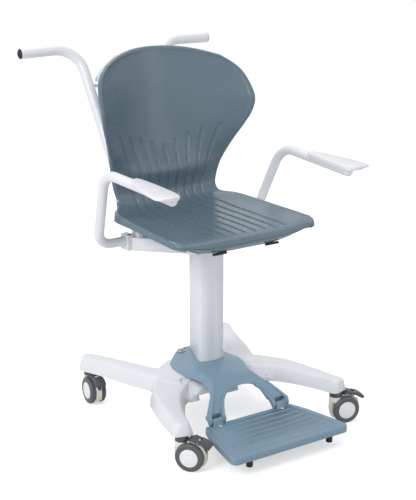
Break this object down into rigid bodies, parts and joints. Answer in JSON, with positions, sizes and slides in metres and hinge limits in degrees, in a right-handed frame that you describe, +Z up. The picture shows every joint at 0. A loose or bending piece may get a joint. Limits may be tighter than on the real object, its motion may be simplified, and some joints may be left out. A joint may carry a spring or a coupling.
{
  "type": "chair scale",
  "caption": "Wheeled chair scale with a moulded seat, folding armrests and footrest, push handles, a load cell under the column and a display with press buttons.",
  "frame": {"origin": "on the floor under the middle of the overall width and length", "axes": "+X to the sitter's left, -Y to the front of the chair, where the footrest is, and +Z up"},
  "size_m": [0.6472, 0.858, 0.97],
  "materials": {
    "white_paint": "satin powder coat",
    "white_plastic": "satin",
    "light_blue_plastic": "satin",
    "blue_grey_plastic": "fine grained satin",
    "dark_plastic": "satin",
    "cream_plastic": "satin",
    "cap_plastic": "satin",
    "tyre": "satin",
    "rubber": "matt",
    "aluminium": "milled",
    "steel": "bright",
    "dark_steel": "blackened",
    "vial": "clear",
    "window": "clear, tinted",
    "lcd": "gloss",
    "board": "satin",
    "battery": "satin",
    "green_button": "satin",
    "button_plastic": "satin"
  },
  "bodies": {
    "chair": {"base_casting": "white_paint", "caster_stems": "dark_plastic", "load_cell": "aluminium", "load_cell_bolts": "dark_steel", "hub_carrier": "light_blue_plastic", "level_ring": "steel", "level_vial": "vial", "column": "white_paint", "column_collar": "aluminium", "seat_frame": "white_paint", "seat_spacers": "rubber", "seat_shell": "blue_grey_plastic", "seat_edge_strips": "rubber", "arm_pivot_pins": "steel", "handle_clamps": "white_paint", "handle_tube_left": "white_paint", "handle_tube_right": "white_paint", "handle_plugs": "rubber", "cross_bar": "white_paint", "display_back": "white_plastic", "display_bezel": "white_plastic", "lcd_panel": "lcd", "display_window": "window", "circuit_board": "board", "battery_pack": "battery", "battery_door": "white_plastic", "footrest_pins": "steel"},
    "swivel_front_left": {"fork_front_left": "cream_plastic"},
    "wheels_front_left": {"axle_front_left": "steel", "tyres_front_left": "tyre", "hubs_front_left": "cap_plastic"},
    "brake_front_left": {"pedal_front_left": "dark_plastic"},
    "swivel_front_right": {"fork_front_right": "cream_plastic"},
    "wheels_front_right": {"axle_front_right": "steel", "tyres_front_right": "tyre", "hubs_front_right": "cap_plastic"},
    "brake_front_right": {"pedal_front_right": "dark_plastic"},
    "swivel_rear_left": {"fork_rear_left": "cream_plastic"},
    "wheels_rear_left": {"axle_rear_left": "steel", "tyres_rear_left": "tyre", "hubs_rear_left": "cap_plastic"},
    "brake_rear_left": {"pedal_rear_left": "dark_plastic"},
    "swivel_rear_right": {"fork_rear_right": "cream_plastic"},
    "wheels_rear_right": {"axle_rear_right": "steel", "tyres_rear_right": "tyre", "hubs_rear_right": "cap_plastic"},
    "brake_rear_right": {"pedal_rear_right": "dark_plastic"},
    "arm_left": {"armrest_left": "white_paint", "arm_pad_left": "white_plastic"},
    "arm_right": {"armrest_right": "white_paint", "arm_pad_right": "white_plastic"},
    "footrest": {"footrest": "light_blue_plastic", "footrest_feet": "rubber", "footrest_screws": "steel"},
    "power_button": {"power_button": "green_button"},
    "zero_button": {"zero_button": "button_plastic"},
    "hold_button": {"hold_button": "button_plastic"},
    "bmi_button": {"bmi_button": "button_plastic"},
    "unit_button": {"unit_button": "button_plastic"}
  },
  "joints": [
    {"name": "swivel_turn_front_left", "type": "hinge", "parent": "chair", "child": "swivel_front_left", "pos_m": [0.246, -0.294, 0.075], "axis": [0, 0, 1], "continuous": true},
    {"name": "wheel_turn_front_left", "type": "hinge", "parent": "swivel_front_left", "child": "wheels_front_left", "pos_m": [0.27015, -0.30047, 0.0375], "axis": [0.2588, 0.9659, 0], "continuous": true},
    {"name": "brake_tilt_front_left", "type": "hinge", "parent": "swivel_front_left", "child": "brake_front_left", "pos_m": [0.28802, -0.30526, 0.078], "axis": [0.2588, 0.9659, 0], "range_deg": [0, 8], "stiffness_Nm_per_rad": 2},
    {"name": "swivel_turn_front_right", "type": "hinge", "parent": "chair", "child": "swivel_front_right", "pos_m": [-0.246, -0.294, 0.075], "axis": [0, 0, 1], "continuous": true},
    {"name": "wheel_turn_front_right", "type": "hinge", "parent": "swivel_front_right", "child": "wheels_front_right", "pos_m": [-0.23061, -0.3137, 0.0375], "axis": [0.788, 0.6157, 0], "continuous": true},
    {"name": "brake_tilt_front_right", "type": "hinge", "parent": "swivel_front_right", "child": "brake_front_right", "pos_m": [-0.21922, -0.32828, 0.078], "axis": [0.788, 0.6157, 0], "range_deg": [0, 8], "stiffness_Nm_per_rad": 2},
    {"name": "swivel_turn_rear_left", "type": "hinge", "parent": "chair", "child": "swivel_rear_left", "pos_m": [0.227, 0.21, 0.075], "axis": [0, 0, 1], "continuous": true},
    {"name": "wheel_turn_rear_left", "type": "hinge", "parent": "swivel_rear_left", "child": "wheels_rear_left", "pos_m": [0.23347, 0.18585, 0.0375], "axis": [0.9659, 0.2588, 0], "continuous": true},
    {"name": "brake_tilt_rear_left", "type": "hinge", "parent": "swivel_rear_left", "child": "brake_rear_left", "pos_m": [0.23826, 0.16798, 0.078], "axis": [0.9659, 0.2588, 0], "range_deg": [0, 8], "stiffness_Nm_per_rad": 2},
    {"name": "swivel_turn_rear_right", "type": "hinge", "parent": "chair", "child": "swivel_rear_right", "pos_m": [-0.227, 0.21, 0.075], "axis": [0, 0, 1], "continuous": true},
    {"name": "wheel_turn_rear_right", "type": "hinge", "parent": "swivel_rear_right", "child": "wheels_rear_right", "pos_m": [-0.22961, 0.18514, 0.0375], "axis": [0.9945, -0.1045, 0], "continuous": true},
    {"name": "brake_tilt_rear_right", "type": "hinge", "parent": "swivel_rear_right", "child": "brake_rear_right", "pos_m": [-0.23155, 0.16674, 0.078], "axis": [0.9945, -0.1045, 0], "range_deg": [0, 8], "stiffness_Nm_per_rad": 2},
    {"name": "arm_fold_left", "type": "hinge", "parent": "chair", "child": "arm_left", "pos_m": [0.2, 0.099, 0.481], "axis": [-1, 0, 0], "range_deg": [0, 95]},
    {"name": "arm_fold_right", "type": "hinge", "parent": "chair", "child": "arm_right", "pos_m": [-0.2, 0.099, 0.481], "axis": [-1, 0, 0], "range_deg": [0, 95]},
    {"name": "footrest_fold", "type": "hinge", "parent": "chair", "child": "footrest", "pos_m": [0, -0.238, 0.066], "axis": [-1, 0, 0], "range_deg": [0, 90]},
    {"name": "power_press", "type": "slide", "parent": "chair", "child": "power_button", "axis": [0, -0.53, -0.848], "range_m": [0, 0.0012], "stiffness_N_per_m": 400},
    {"name": "zero_press", "type": "slide", "parent": "chair", "child": "zero_button", "axis": [0, -0.53, -0.848], "range_m": [0, 0.0012], "stiffness_N_per_m": 400},
    {"name": "hold_press", "type": "slide", "parent": "chair", "child": "hold_button", "axis": [0, -0.53, -0.848], "range_m": [0, 0.0012], "stiffness_N_per_m": 400},
    {"name": "bmi_press", "type": "slide", "parent": "chair", "child": "bmi_button", "axis": [0, -0.53, -0.848], "range_m": [0, 0.0012], "stiffness_N_per_m": 400},
    {"name": "unit_press", "type": "slide", "parent": "chair", "child": "unit_button", "axis": [0, -0.53, -0.848], "range_m": [0, 0.0012], "stiffness_N_per_m": 400}
  ]
}
